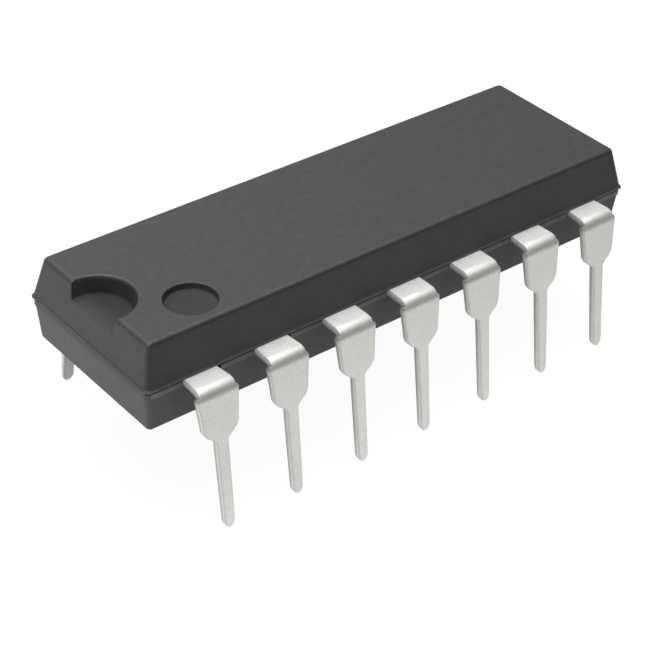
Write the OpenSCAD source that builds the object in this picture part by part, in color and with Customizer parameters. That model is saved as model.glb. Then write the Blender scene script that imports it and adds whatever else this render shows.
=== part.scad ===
// Plastic dual in-line package with fourteen leads, in millimetres.
// X runs along the package, Y across it and Z up. The lead tips stand on z = 0,
// the notch is at the -X end and lead 1 is the first one on the -Y side.

/* [Body] */
// Length of the body over the lip
body_length = 19.05; // [18.6:0.05:19.7]
// Width of the body over the lip
body_width = 6.15; // [6.1:0.05:6.6]
// Height of the upper half, above the leads
upper_height = 1.45; // [1.4:0.05:1.8]
// Height of the lower half, below the leads
lower_height = 1.25; // [1.1:0.05:1.6]
// Draft of the upper half's walls, degrees
upper_draft = 12; // [6:0.5:14]
// Draft of the lower half's walls, degrees
lower_draft = 5; // [2:0.5:12]
// Radius of the upright corners
corner_radius = 0.17; // [0.16:0.01:0.35]
// Radius of the top edges
top_radius = 0.13; // [0.08:0.01:0.15]
// Radius of the bottom edges
bottom_radius = 0.15; // [0.08:0.01:0.15]
// How far the lip at the parting line stands out
lip_reach = 0.05; // [0.03:0.01:0.12]
// Height of the lip's upright rim
lip_rim = 0.04; // [0.03:0.01:0.08]
// Height over which the lip flares into the wall
lip_flare = 0.06; // [0.04:0.01:0.25]
// How far the band between the leads is set back from the lip
band_setback = 0.05; // [0.03:0.01:0.12]
// How far the lower half is set back from the band
lower_setback = 0.02; // [0.01:0.01:0.08]

/* [Marks] */
// Radius of the end notch at the top face
notch_radius = 1.17; // [0.9:0.01:1.3]
// Depth of the end notch
notch_depth = 0.56; // [0.3:0.01:0.7]
// How far the notch's centre lies in from the edge of the top face
notch_inset = 0.12; // [0.05:0.01:0.3]
// Radius of the dimple beside lead 1
dimple_radius = 0.82; // [0.5:0.01:0.9]
// Depth of the dimple
dimple_depth = 0.2; // [0.05:0.01:0.3]
// Distance along the body from the notch's centre to the dimple's
dimple_along = 2.15; // [2.1:0.01:2.6]
// Distance across the body from the centre line to the dimple's centre
dimple_across = 1.6; // [1.4:0.01:1.65]
// Draft of the walls of the notch and the dimple, degrees
mark_draft = 12; // [4:1:16]
// Radius of the two ejector marks under the body
ejector_radius = 0.75; // [0.5:0.01:1]
// Depth of the ejector marks
ejector_depth = 0.05; // [0.03:0.01:0.1]
// Distance along the body from its centre to each ejector mark
ejector_along = 5.6; // [4:0.1:7]

/* [Leads] */
// Distance from one lead to the next
pitch = 2.54; // [2.5:0.01:2.6]
// Distance between the two rows, measured at the bends
row_spacing = 7.62; // [7.5:0.02:8]
// Thickness of the lead frame
lead_thickness = 0.25; // [0.2:0.01:0.3]
// Width of a lead where it leaves the body
lead_width = 1.27; // [1.1:0.01:1.4]
// Inner radius of the bend
bend_radius = 0.08; // [0.06:0.01:0.22]
// Outward splay of the legs, degrees
splay = 7.5; // [0:0.5:9]
// Width of the blade at its top, over the cut tie bar stubs
blade_top_width = 1.44; // [1.42:0.01:1.6]
// Width of the blade at its shoulders
blade_low_width = 1.26; // [1.1:0.01:1.4]
// Radius of the blade's shoulders
shoulder_radius = 0.34; // [0.2:0.01:0.36]
// Radius between the shoulder and the pin
neck_radius = 0.18; // [0.1:0.01:0.2]
// Slope of the shoulders from upright, degrees
shoulder_slope = 52; // [45:1:60]
// Width of the pin below the shoulders
pin_width = 0.43; // [0.38:0.01:0.5]
// Width of the pin where its round tip begins
tip_width = 0.37; // [0.34:0.01:0.38]
// Length of the pin below the seating plane
pin_length = 2.92; // [2.9:0.01:3.4]
// Height of the body above the seating plane
standoff = 0.38; // [0.38:0.01:0.6]
// Gap on each side of a lead where the band between the leads stops
band_gap = 0.1; // [0.05:0.01:0.15]
// Depth of that gap, in from the band's face
band_gap_depth = 0.2; // [0.1:0.01:0.3]

/* [Lead frame] */
// Length of the paddle that carries the die
paddle_length = 5.6; // [5:0.1:5.8]
// Gap between the paddle and the fingers' tips
finger_gap = 0.3; // [0.2:0.01:0.4]
// Width of a finger at its knee
finger_knee_width = 0.56; // [0.4:0.01:0.7]
// Width of a finger at its tip
finger_tip_width = 0.4; // [0.3:0.01:0.44]
// Distance from the body's side to where the finger narrows
finger_root = 0.65; // [0.5:0.01:0.8]
// Distance across the body from a side finger's root to its tip
finger_run = 0.6; // [0.5:0.01:0.7]
// Distance between the tips of the fingers along the paddle's side
finger_tip_spacing = 1.87; // [1.7:0.01:1.9]
// Share of the way from root to tip, along the body, where a side finger has its knee
side_knee_share = 0.15; // [0.1:0.01:0.3]
// How far the knees of the side fingers stand out from the middle of their run
side_knee_rise = 0.1; // [0:0.01:0.2]
// Share of the way along the body where the next finger has its knee
next_knee_share = 0.2; // [0.1:0.01:0.3]
// How far that knee lies in from the finger's root
next_knee_drop = 0.3; // [0.2:0.01:0.4]
// Share of the way across the body where the end finger has its knee
end_knee_share = 0.65; // [0.5:0.01:0.7]
// Width of the tie bars that held the paddle in the frame
tie_bar_width = 0.4; // [0.3:0.01:0.44]
// Resin left over the end of each tie bar
tie_bar_cover = 0.4; // [0.3:0.01:0.6]

/* [Die] */
// Length of the die
die_length = 2.4; // [1.8:0.05:2.6]
// Width of the die
die_width = 1.8; // [1.5:0.05:1.9]
// Thickness of the die
die_thickness = 0.32; // [0.25:0.01:0.4]
// Thickness of the adhesive under the die
attach_thickness = 0.04; // [0.02:0.01:0.08]
// How far the adhesive shows around the die
attach_margin = 0.06; // [0.04:0.01:0.1]

/* [Bond wires] */
// Diameter of a bond wire
wire_diameter = 0.04; // [0.03:0.005:0.05]
// Diameter of the ball where a wire starts on the die
ball_diameter = 0.09; // [0.07:0.005:0.1]
// Height of the ball
ball_height = 0.03; // [0.02:0.005:0.05]
// Height of the loop above the die
loop_height = 0.24; // [0.15:0.01:0.35]
// Share of the wire's run that lies before the loop's highest point
loop_rise_share = 0.3; // [0.2:0.01:0.4]
// Distance from the die's edge to the bond pads
pad_inset = 0.14; // [0.1:0.01:0.2]
// Distance from a finger's tip to the wire's foot
foot_inset = 0.2; // [0.15:0.01:0.3]

/* [Hidden] */

$fn = 64;
leads_per_row = 7;
corner_steps = 5;
edge_steps = 4;
arc_steps = 6;
wire_sides = 6;
wire_steps = 6;
// How far a cutting shape runs past the face that it opens
clear = 0.5;

resin_colour = [0.24, 0.245, 0.25];
tin_colour = [0.8, 0.79, 0.77];
frame_colour = [0.72, 0.5, 0.34];
adhesive_colour = [0.62, 0.62, 0.6];
silicon_colour = [0.32, 0.34, 0.4];
gold_colour = [0.93, 0.76, 0.34];

// Heights of the main levels above the lead tips
body_bottom = pin_length + standoff;
lead_bottom = body_bottom + lower_height;
lead_top = lead_bottom + lead_thickness;
body_top = lead_top + upper_height;
lip_top = lead_top + lip_rim + lip_flare;
attach_top = lead_top + attach_thickness;
die_top = attach_top + die_thickness;

// The paddle fills what the side fingers leave free
paddle_width = body_width - 2 * (finger_root + finger_run + finger_gap);

// Set-backs of the walls from the lip
lower_inset = band_setback + lower_setback;
top_inset = lip_reach + (body_top - lip_top) * tan(upper_draft);
top_half_length = body_length / 2 - top_inset;

// The bend's centre line, seen along the body
bend_outer = bend_radius + lead_thickness;
bend_y = row_spacing / 2 + lead_thickness / 2 - bend_outer;
bend_z = lead_top - bend_outer;

notch_x = -top_half_length + notch_inset;
dimple_x = notch_x + dimple_along;

// Points of an arc in a plane, from one angle to another
function arc(centre, radius, from, to, steps = arc_steps) =
    [for (k = [0:steps]) let (a = from + (to - from) * k / steps)
        centre + radius * [cos(a), sin(a)]];

function unit(v) = v / norm(v);

// A closed solid through rings of points that all have the same count
module loft(rings) {
    count = len(rings[0]);
    last = len(rings) - 1;
    points = [for (ring = rings) each ring];
    bottom = [[for (k = [0:count - 1]) k]];
    top = [[for (k = [0:count - 1]) last * count + count - 1 - k]];
    sides = [for (i = [0:last - 1]) for (k = [0:count - 1]) let (next = (k + 1) % count)
        [i * count + k, (i + 1) * count + k, (i + 1) * count + next, i * count + next]];
    polyhedron(points, concat(bottom, sides, top), convexity = 6);
}

// One level of the body: a rectangle with round corners, inset from the lip.
// Where an edge is rounded, rounding is the part of the inset that it takes.
function body_ring(z, inset, rounding = 0) =
    let (half_length = body_length / 2 - inset - rounding,
        half_width = body_width / 2 - inset - rounding,
        radius = corner_radius - rounding)
    [for (corner = [0:3]) for (k = [0:corner_steps])
        let (a = 90 * corner + 90 * k / corner_steps,
            x_side = (corner == 0 || corner == 3) ? 1 : -1,
            y_side = corner < 2 ? 1 : -1)
        [x_side * (half_length - radius) + radius * cos(a),
            y_side * (half_width - radius) + radius * sin(a), z]];

// Levels from the rounded bottom edge up to the underside of the band
function lower_rings() = concat(
    [for (k = [0:edge_steps]) let (a = 90 * k / edge_steps,
        z = body_bottom + bottom_radius * (1 - cos(a)),
        inset = lower_inset + (lead_bottom - z) * tan(lower_draft))
        body_ring(z, inset, bottom_radius * (1 - sin(a)))],
    [body_ring(lead_bottom, lower_inset)]);

// Levels of the band that lies beside the leads, and of the lip above it
function lip_rings() = [
    body_ring(lead_bottom, band_setback),
    body_ring(lead_top, band_setback),
    body_ring(lead_top, 0),
    body_ring(lead_top + lip_rim, 0),
    body_ring(lip_top, lip_reach)];

// Levels of the rounded top edge
function upper_rings() =
    [for (k = [0:edge_steps]) let (a = 90 - 90 * k / edge_steps,
        z = body_top - top_radius * (1 - cos(a)),
        inset = lip_reach + (z - lip_top) * tan(upper_draft))
        body_ring(z, inset, top_radius * (1 - sin(a)))];

// A drafted round recess that opens upward at its radius
module round_recess(radius, depth) {
    slope = tan(mark_draft);
    translate([0, 0, -depth])
        cylinder(h = depth + clear, r1 = radius - depth * slope, r2 = radius + clear * slope);
}

// Where the band between the leads stops short of each lead
module band_gaps() {
    reach = band_gap_depth + band_setback + clear;
    for (column = [0:leads_per_row - 1], side = [-1, 1])
        translate([(column - (leads_per_row - 1) / 2) * pitch,
            side * (body_width / 2 - band_setback - band_gap_depth + reach / 2),
            (lead_bottom + lead_top) / 2])
            cube([lead_width + 2 * band_gap, reach, lead_thickness], center = true);
}

// The moulding: two drafted halves that meet at the lip, cast around the frame
module moulded_body() {
    color(resin_colour)
    difference() {
        loft(concat(lower_rings(), lip_rings(), upper_rings()));
        translate([notch_x, 0, body_top]) round_recess(notch_radius, notch_depth);
        translate([dimple_x, -dimple_across, body_top]) round_recess(dimple_radius, dimple_depth);
        for (end = [-1, 1])
            translate([end * ejector_along, 0, body_bottom - clear])
                cylinder(h = clear + ejector_depth, r = ejector_radius);
        band_gaps();
        for (pin = [1:2 * leads_per_row]) {
            lead(pin);
            bond_wire(pin);
        }
        die_paddle();
        die_attach();
        silicon_die();
    }
}

// Which column a lead stands in, counted from the middle of its row
function lead_column(pin) = pin <= leads_per_row
    ? pin - (leads_per_row + 1) / 2
    : (3 * leads_per_row + 1) / 2 - pin;

function near_side(pin) = pin <= leads_per_row;

// Tip of a finger, as if its lead were on the +Y side: the middle fingers end
// along the paddle's side, the others at its end, clear of the tie bar
function finger_tip(column) =
    let (outward = sign(column), rank = abs(column),
        end_x = paddle_length / 2 + finger_gap,
        first_y = tie_bar_width / 2 + finger_gap + finger_tip_width / 2)
    rank <= 1 ? [column * finger_tip_spacing, paddle_width / 2 + finger_gap]
    : rank == 2 ? [outward * end_x, first_y + finger_tip_width + finger_gap]
    : [outward * end_x, first_y];

// Knee of a finger, between its root and its tip
function finger_knee(column) =
    let (tip = finger_tip(column), root = [column * pitch, body_width / 2 - finger_root],
        run = tip - root)
    abs(column) <= 1 ? [root[0] + side_knee_share * run[0], root[1] + run[1] / 2 + side_knee_rise]
    : abs(column) == 2 ? [root[0] + next_knee_share * run[0], root[1] - next_knee_drop]
    : [root[0] + run[0] / 2, root[1] + end_knee_share * run[1]];

// Outline of a strip of changing width along a path
function strip(path, widths) =
    let (last = len(path) - 1,
        across = [for (i = [0:last])
            let (before = i > 0 ? unit(path[i] - path[i - 1]) : [0, 0],
                after = i < last ? unit(path[i + 1] - path[i]) : [0, 0],
                along = unit(before + after))
            [-along[1], along[0]]],
        left = [for (i = [0:last]) path[i] + across[i] * widths[i] / 2],
        right = [for (i = [last:-1:0]) path[i] - across[i] * widths[i] / 2])
    concat(left, right);

// The part of a lead that lies in the resin, in the plane of the frame
module finger(column) {
    root_x = column * pitch;
    root_y = body_width / 2 - finger_root;
    path = [[root_x, bend_y], [root_x, root_y], finger_knee(column), finger_tip(column)];
    translate([0, 0, lead_bottom])
        linear_extrude(lead_thickness)
            polygon(strip(path, [lead_width, lead_width, finger_knee_width, finger_tip_width]));
}

// The bend and the leg at full width: a quarter turn less the splay, then a flat strip
module bend_and_leg(width) {
    leg_length = bend_z / cos(splay) + clear;
    translate([-width / 2, bend_y, bend_z]) {
        rotate([90, 0, 90])
            rotate([0, 0, splay])
                rotate_extrude(angle = 90 - splay)
                    translate([bend_radius, 0])
                        square([lead_thickness, width]);
        rotate([splay, 0, 0])
            translate([0, bend_radius, -leg_length])
                cube([width, lead_thickness, leg_length]);
    }
}

// Right half of the lead's front view, from the round tip up to the flat
function lead_edge() =
    let (tip_r = tip_width / 2,
        both_radii = shoulder_radius + neck_radius,
        slope_width = (blade_low_width - pin_width) / 2 - both_radii * (1 - cos(shoulder_slope)),
        shoulder_z = pin_length + both_radii * sin(shoulder_slope) + slope_width / tan(shoulder_slope),
        neck = [pin_width / 2 + neck_radius, pin_length],
        shoulder = [blade_low_width / 2 - shoulder_radius, shoulder_z],
        stub_z = bend_z + bend_outer / 2)
    concat(
        arc([0, tip_r], tip_r, -90, 0),
        arc(neck, neck_radius, 180, 180 - shoulder_slope),
        arc(shoulder, shoulder_radius, -shoulder_slope, 0),
        [[blade_top_width / 2, stub_z], [lead_width / 2, stub_z], [lead_width / 2, lead_top + clear]]);

module lead_front() {
    edge = lead_edge();
    mirrored = [for (i = [len(edge) - 1:-1:1]) [-edge[i][0], edge[i][1]]];
    polygon(concat(edge, mirrored));
}

// One lead in a single piece: finger, bend, blade, shoulders and pin
module lead(pin) {
    column = lead_column(pin);
    depth = 2 * row_spacing;
    color(tin_colour)
    mirror([0, near_side(pin) ? 1 : 0, 0])
        union() {
            finger(column);
            translate([column * pitch, 0, 0])
                intersection() {
                    bend_and_leg(blade_top_width);
                    translate([0, depth, 0])
                        rotate([90, 0, 0])
                            linear_extrude(depth)
                                lead_front();
                }
        }
}

// The plate that carries the die, with the tie bars that held it in the frame
module die_paddle() {
    bar_length = body_length - 2 * tie_bar_cover;
    color(frame_colour)
    translate([0, 0, (lead_bottom + lead_top) / 2])
        union() {
            cube([paddle_length, paddle_width, lead_thickness], center = true);
            cube([bar_length, tie_bar_width, lead_thickness], center = true);
        }
}

// The layer of adhesive between the paddle and the die
module die_attach() {
    color(adhesive_colour)
    translate([0, 0, lead_top + attach_thickness / 2])
        cube([die_length + 2 * attach_margin, die_width + 2 * attach_margin, attach_thickness],
            center = true);
}

module silicon_die() {
    color(silicon_colour)
    translate([0, 0, attach_top + die_thickness / 2])
        cube([die_length, die_width, die_thickness], center = true);
}

// The bond pad for a finger: where the line from the die's centre to the finger's
// tip crosses the row of pads
function bond_pad(column) =
    let (tip = finger_tip(column),
        reach_x = (die_length / 2 - pad_inset) / max(abs(tip[0]), pad_inset),
        reach_y = (die_width / 2 - pad_inset) / max(abs(tip[1]), pad_inset))
    tip * min(reach_x, reach_y);

// Where the wire meets its finger
function wire_foot(column) =
    let (tip = finger_tip(column))
    tip + foot_inset * unit(finger_knee(column) - tip);

// A ring of points around a wire that runs in an upright plane. It lies square to
// the wire's direction, which is given as an angle above the horizontal run.
function wire_ring(at, z, run, climb, diameter) =
    let (side = [-run[1], run[0], 0],
        normal = [-sin(climb) * run[0], -sin(climb) * run[1], cos(climb)])
    [for (k = [0:wire_sides - 1]) let (a = 360 * k / wire_sides)
        [at[0], at[1], z] + diameter / 2 * (cos(a) * side + sin(a) * normal)];

// One gold wire: a ball on the pad, a loop of two quarter ellipses that starts and
// ends upright, and a foot on the finger
module bond_wire(pin) {
    column = lead_column(pin);
    pad = bond_pad(column);
    foot = wire_foot(column);
    run = unit(foot - pad);
    length_out = norm(foot - pad);
    rise_length = loop_rise_share * length_out;
    fall_length = length_out - rise_length;
    ball_top = die_top + ball_height;
    apex = die_top + loop_height;
    rise_height = apex - ball_top;
    fall_height = apex - lead_top;
    ball = [for (z = [die_top, ball_top]) wire_ring(pad, z, run, 90, ball_diameter)];
    rise = [for (k = [0:wire_steps - 1])
        let (a = 90 * k / wire_steps,
            at = pad + run * rise_length * (1 - cos(a)),
            climb = atan2(rise_height * cos(a), rise_length * sin(a)))
        wire_ring(at, ball_top + rise_height * sin(a), run, climb, wire_diameter)];
    fall = [for (k = [0:wire_steps])
        let (a = 90 * k / wire_steps,
            at = pad + run * (rise_length + fall_length * sin(a)),
            climb = -atan2(fall_height * sin(a), fall_length * cos(a)))
        wire_ring(at, apex - fall_height * (1 - cos(a)), run, climb, wire_diameter)];
    color(gold_colour)
    mirror([0, near_side(pin) ? 1 : 0, 0])
        loft(concat(ball, rise, fall));
}

moulded_body();
lead(1);  // lead_01
lead(2);  // lead_02
lead(3);  // lead_03
lead(4);  // lead_04
lead(5);  // lead_05
lead(6);  // lead_06
lead(7);  // lead_07
lead(8);  // lead_08
lead(9);  // lead_09
lead(10);  // lead_10
lead(11);  // lead_11
lead(12);  // lead_12
lead(13);  // lead_13
lead(14);  // lead_14
die_paddle();
die_attach();
silicon_die();
bond_wire(1);  // bond_wire_01
bond_wire(2);  // bond_wire_02
bond_wire(3);  // bond_wire_03
bond_wire(4);  // bond_wire_04
bond_wire(5);  // bond_wire_05
bond_wire(6);  // bond_wire_06
bond_wire(7);  // bond_wire_07
bond_wire(8);  // bond_wire_08
bond_wire(9);  // bond_wire_09
bond_wire(10);  // bond_wire_10
bond_wire(11);  // bond_wire_11
bond_wire(12);  // bond_wire_12
bond_wire(13);  // bond_wire_13
bond_wire(14);  // bond_wire_14
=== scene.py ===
"""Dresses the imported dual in-line package: the resin body, the fourteen leads, the sealed inner parts
and the stage. Lengths are metres, X runs along the package, Y across it and Z up."""

from typing import NamedTuple

import bmesh
import bpy
import numpy as np
from mathutils import Matrix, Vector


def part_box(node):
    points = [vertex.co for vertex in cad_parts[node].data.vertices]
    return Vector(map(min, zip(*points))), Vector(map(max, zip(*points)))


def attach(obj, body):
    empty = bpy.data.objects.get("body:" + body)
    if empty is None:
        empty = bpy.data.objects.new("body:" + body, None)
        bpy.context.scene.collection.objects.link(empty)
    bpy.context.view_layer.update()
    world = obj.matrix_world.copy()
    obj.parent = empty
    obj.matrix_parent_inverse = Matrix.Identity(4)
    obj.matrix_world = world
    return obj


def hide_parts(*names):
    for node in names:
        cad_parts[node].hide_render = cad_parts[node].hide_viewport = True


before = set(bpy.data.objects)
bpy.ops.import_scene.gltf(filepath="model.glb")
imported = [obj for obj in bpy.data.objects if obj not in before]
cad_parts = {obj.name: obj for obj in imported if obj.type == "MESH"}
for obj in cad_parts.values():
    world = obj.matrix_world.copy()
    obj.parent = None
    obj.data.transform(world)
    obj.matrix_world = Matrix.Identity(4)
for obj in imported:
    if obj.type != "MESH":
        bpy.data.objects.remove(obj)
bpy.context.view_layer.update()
BODY_LOW, BODY_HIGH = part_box("moulded_body")

bl_info = {
    "name": "Dual In-line Package Dresser",
    "version": (1, 0, 0),
    "blender": (4, 5, 0),
    "location": "3D View > Sidebar > Package",
    "description": "Builds the resin body, leads, inner parts and stage of a dual in-line package",
    "category": "Object",
}

MM = 0.001
LEADS_PER_ROW = 7
LEAD_NAMES = [f"lead_{number:02d}" for number in range(1, 2 * LEADS_PER_ROW + 1)]
WIRE_NAMES = [f"bond_wire_{number:02d}" for number in range(1, 2 * LEADS_PER_ROW + 1)]

# Points closer than this lie on the same level
TOLERANCE = 0.001 * MM
# Points on a rounded edge of the body
EDGE_POINTS = 9
# Steps round a corner of the body
CORNER_STEPS = 5
# Shares of the band's setback where the upper levels end and the lower ones begin, under the lip
UPPER_END, LOWER_START = 0.6, 0.65
# Height of the fine bumps in all materials
BUMP_HEIGHT = 0.01 * MM
# Degrees from a sky panel's middle where it starts to fade and where it ends
TOP_PANEL = (20, 38)
SIDE_PANEL = (15, 45)


def length(name, description, millimetres, low=0.0, high=40.0):
    """A length property, given in millimetres and held in metres."""
    return bpy.props.FloatProperty(
        name=name, description=description, default=millimetres * MM, min=low * MM, max=high * MM,
        precision=6, unit="LENGTH")


def angle(name, description, degrees):
    """An angle property, given in degrees and held in radians."""
    return bpy.props.FloatProperty(
        name=name, description=description, default=float(np.radians(degrees)), subtype="ANGLE")


def share(name, description, value, high=1.0):
    """A plain factor."""
    return bpy.props.FloatProperty(
        name=name, description=description, default=value, min=0.0, max=high, subtype="FACTOR")


def colour(name, description, value):
    """A colour property, in linear light."""
    return bpy.props.FloatVectorProperty(
        name=name, description=description, default=value, min=0.0, max=1.0, size=3, subtype="COLOR")


class BodySizes(bpy.types.PropertyGroup):
    """Sizes of the moulded body: the solid's, with a crease and rounded rims that the solid lacks."""

    upper_draft: angle("Upper draft", "Draft of the upper half's walls", 12)
    lower_draft: angle("Lower draft", "Draft of the lower half's walls", 5)
    upper_height: length("Upper height", "Height of the upper half, above the leads", 1.45)
    lower_height: length("Lower height", "Height of the lower half, below the leads", 1.25)
    corner_radius: length("Corner radius", "Radius of the upright corners", 0.17)
    top_radius: length("Top radius", "Radius of the top edges", 0.13)
    bottom_radius: length("Bottom radius", "Radius of the bottom edges", 0.15)
    lip_reach: length("Lip reach", "How far the lip stands out from the upper wall", 0.05)
    lip_rim: length("Lip rim", "Height of the lip's upright rim", 0.04)
    lip_flare: length("Lip flare", "Height over which the lip flares into the wall", 0.06)
    lip_softness: length("Lip softness", "Radius of the lip's edges", 0.012)
    band_setback: length("Band setback", "How far the band is set back from the lip", 0.05)
    crease_height: length("Crease height", "Height of the crease under the lip", 0.08)
    crease_depth: length("Crease depth", "How far the crease lies behind the band", 0.04)
    lower_setback: length("Lower setback", "How far the lower half is set back from the band", 0.02)
    band_gap: length("Band gap", "Gap beside a lead, away from the notch, where the band stops", 0.1)
    band_gap_depth: length("Band gap depth", "Depth of that gap", 0.2)
    notch_radius: length("Notch radius", "Radius of the end notch at the top", 1.17)
    notch_depth: length("Notch depth", "Depth of the end notch", 0.56)
    notch_inset: length("Notch inset", "How far the notch's centre lies in from the top's edge", 0.12)
    dimple_radius: length("Dimple radius", "Radius of the dimple beside lead 1", 0.82)
    dimple_depth: length("Dimple depth", "Depth of the dimple", 0.2)
    dimple_along: length("Dimple along", "Distance from the notch's centre to the dimple's", 2.15)
    dimple_across: length("Dimple across", "Distance from the centre line to the dimple's", 1.6)
    mark_draft: angle("Mark draft", "Draft of the walls of the notch and the dimple", 12)
    rim_radius: length("Rim radius", "Radius of the rims of the notch and the dimple", 0.1)
    floor_radius: length("Floor radius", "Radius between their walls and floors", 0.03)
    ejector_radius: length("Ejector radius", "Radius of the marks under the body", 0.75)
    ejector_depth: length("Ejector depth", "Depth of the marks under the body", 0.05)
    ejector_along: length("Ejector along", "Distance from the centre to each mark", 5.6)
    fine_reach: length("Fine reach", "How far fine mesh lines run past a rim or a floor", 0.085)
    notch_zone: length("Notch zone", "Where the mesh round the notch is square again", 1.28)
    dimple_zone: length("Dimple zone", "Where the mesh round the dimple is square again", 0.94)
    coarse_step: length("Coarse step", "Spacing of the mesh lines inside the marks", 0.06)
    mark_step: length("Mark step", "Spacing of the mesh lines at the ejector marks", 0.04)


class LeadSizes(bpy.types.PropertyGroup):
    """Sizes of a lead: the solid's, but for rounder shoulders and longer, thinner tips."""

    pitch: length("Pitch", "Distance from one lead to the next", 2.54)
    row_spacing: length("Row spacing", "Distance between the rows at the bends", 7.62)
    thickness: length("Thickness", "Thickness of the lead frame", 0.25)
    width: length("Width", "Width of a lead where it leaves the body", 1.27)
    bend_radius: length("Bend radius", "Inner radius of the bend", 0.08)
    splay: angle("Splay", "Outward splay of the legs", 7.5)
    blade_top_width: length("Blade top width", "Width over the cut tie bar stubs", 1.44)
    # The stripe is a painted dark reflection just under the bend, not a mark of the die
    stripe_along: length("Stripe along", "Distance from the bend's start to the die's stripe", 0.235)
    stripe_width: length("Stripe width", "Half width of that stripe", 0.09)
    stub_share: share("Stub share", "Height of the stub's top over the bend's centre", 0.5)
    blade_low_width: length("Blade low width", "Width of the blade at its shoulders", 1.26)
    shoulder_radius: length("Shoulder radius", "Radius of the blade's shoulders", 0.46)
    neck_radius: length("Neck radius", "Radius between the shoulder and the pin", 0.18)
    shoulder_slope: angle("Shoulder slope", "Slope of the shoulders from upright", 52)
    pin_width: length("Pin width", "Width of the pin below the shoulders", 0.43)
    tip_width: length("Tip width", "Width of the pin where its tip begins", 0.37)
    tip_length: share("Tip length", "Length of the tip, in half widths", 1.35, high=4.0)
    tip_taper: length("Tip taper", "Length over which the pin thins towards its tip", 0.5)
    tip_thinning: share("Tip thinning", "Share of the thickness lost at the tip", 0.2)
    pin_length: length("Pin length", "Length of the pin below the seating plane", 2.92)
    edge_radius: length("Edge radius", "Radius of the coined edges", 0.06)
    finger_root: length("Finger root", "Distance from the body's side to the finger's root", 0.65)
    finger_run: length("Finger run", "Distance across from a side finger's root to its tip", 0.6)
    finger_gap: length("Finger gap", "Gap between the paddle and the fingers", 0.3)
    finger_knee_width: length("Finger knee width", "Width of a finger at its knee", 0.56)
    finger_tip_width: length("Finger tip width", "Width of a finger at its tip", 0.4)
    paddle_length: length("Paddle length", "Length of the paddle that carries the die", 5.6)
    finger_tip_spacing: length("Finger tip spacing", "Distance between the side fingers' tips", 1.87)
    tie_bar_width: length("Tie bar width", "Width of the paddle's tie bars", 0.4)
    side_knee_share: share("Side knee share", "Where a side finger has its knee", 0.15)
    side_knee_rise: length("Side knee rise", "How far a side finger's knee stands out", 0.1)
    next_knee_share: share("Next knee share", "Where the next finger has its knee", 0.2)
    next_knee_drop: length("Next knee drop", "How far that knee lies in from the root", 0.3)
    end_knee_share: share("End knee share", "Where an end finger has its knee", 0.65)


class FinishColours(bpy.types.PropertyGroup):
    """Colours of the package's materials."""

    resin: colour("Resin", "Grey-black moulding resin", (0.031, 0.0335, 0.0365))
    tin: colour("Tin", "Satin tin plating", (0.985, 0.968, 0.92))
    copper: colour("Copper", "Bare lead frame alloy", (0.60, 0.30, 0.16))
    adhesive: colour("Adhesive", "Cured silver-filled epoxy", (0.42, 0.42, 0.40))
    silicon: colour("Silicon", "Polished silicon", (0.10, 0.11, 0.15))
    gold: colour("Gold", "Drawn gold wire", (0.88, 0.60, 0.18))
    floor: colour("Floor", "Pale studio floor", (0.9, 0.9, 0.9))


class StageSettings(bpy.types.PropertyGroup):
    """The camera, the sky and the floor."""

    azimuth: angle("Azimuth", "Camera azimuth: 0 looks along +Y", -39.8)
    elevation: angle("Elevation", "Camera elevation above the horizon", 35.49)
    roll: angle("Roll", "Turn of the camera about its own axis", -2.09)
    distance: length("Distance", "Camera distance from the package's centre", 63.28, high=400)
    pan_right: length("Pan right", "How far the aim lies to the right", -0.446, low=-10)
    pan_up: length("Pan up", "How far the aim lies above the origin", 1.271, low=-10)
    lens: bpy.props.FloatProperty(name="Lens", description="Focal length in mm", default=107.1)
    sky_top: share("Sky top", "Light from straight above", 3.1, high=9.0)
    sky_low: share("Sky low", "Light from the whole horizon", 0.03, high=9.0)
    sky_left: share("Sky left", "Light from the notch's end", 0.5, high=9.0)
    sky_back: share("Sky back", "Light from behind the far row", 0.85, high=9.0)
    sky_right: share("Sky right", "Light from the far end", 0.05, high=9.0)
    # The floor's bright part is a painted pool of light, seen only in reflections
    sheet_x: length("Sheet X", "Middle of the floor's bright part along the package", -12, low=-40)
    sheet_y: length("Sheet Y", "Middle of the floor's bright part across the package", 6, low=-40)
    sheet_near: length("Sheet near", "Where the floor starts to dim in reflections", 9)
    sheet_far: length("Sheet far", "Where it has dimmed", 36, high=400)
    sheet_edge: share("Sheet edge", "How bright it is left", 0.5)
    # A painted shadow of the package on the floor, seen only in reflections
    painted_shadow_level: share("Under level", "How bright the floor under the package is in reflections", 0.4)
    under_edge: length("Under edge", "Half width of the blend at the package's outline", 1.5)
    floor_reflected: share("Floor reflected", "Brightness of the floor in reflections", 1.0)
    floor_glow: share("Floor glow", "Brightness of the floor seen by the camera", 0.95)
    floor_tone: share("Floor tone", "Base colour of the floor where it is seen, under its glow", 0.08)


GROUPS = {
    "package_body": BodySizes,
    "package_leads": LeadSizes,
    "package_colours": FinishColours,
    "package_stage": StageSettings,
}


def grid_faces(rows, columns, wrap=False, start=0):
    """Quads between neighbouring rows of points. With wrap, each row is a closed ring."""
    row = np.arange(rows - 1)[:, None] * columns
    column = np.arange(columns if wrap else columns - 1)[None, :]
    beside = (column + 1) % columns
    quads = np.stack([row + column, row + beside, row + columns + beside, row + columns + column], -1)
    return quads.reshape(-1, 4) + start


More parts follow.
